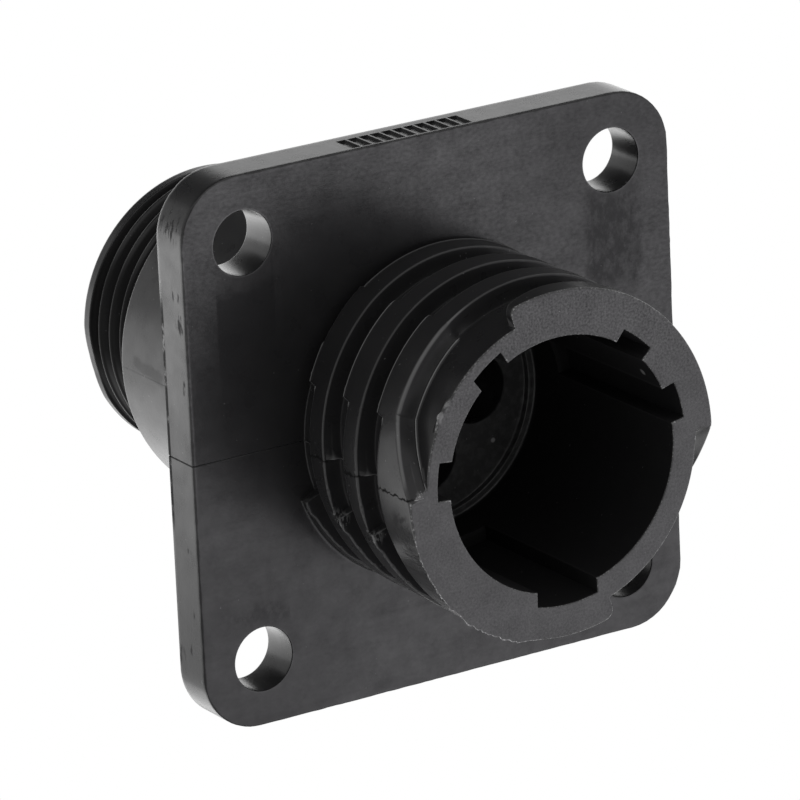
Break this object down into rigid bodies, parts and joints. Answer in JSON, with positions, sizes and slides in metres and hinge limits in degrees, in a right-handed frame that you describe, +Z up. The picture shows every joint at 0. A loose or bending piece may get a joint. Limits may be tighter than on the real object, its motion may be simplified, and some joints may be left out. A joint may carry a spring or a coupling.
{
  "type": "circular panel mount connector",
  "caption": "Empty moulded receptacle housing: a square screw flange, a keyed socket inside a coarse coupling thread in front, and a plain body with a fine threaded tail behind.",
  "frame": {"origin": "centre of the flange's rear face, which seats on the panel", "axes": "the connector's axis is Y with the mating side at -Y and the wiring side at +Y, Z is up with the wide keyway at the bottom, and X runs along the flange's upper edge"},
  "size_m": [0.0242, 0.0283, 0.0242],
  "materials": {
    "housing": "black moulded thermoplastic, matt, with parting lines left from the mould"
  },
  "bodies": {
    "root": {"housing": "housing"}
  },
  "joints": []
}
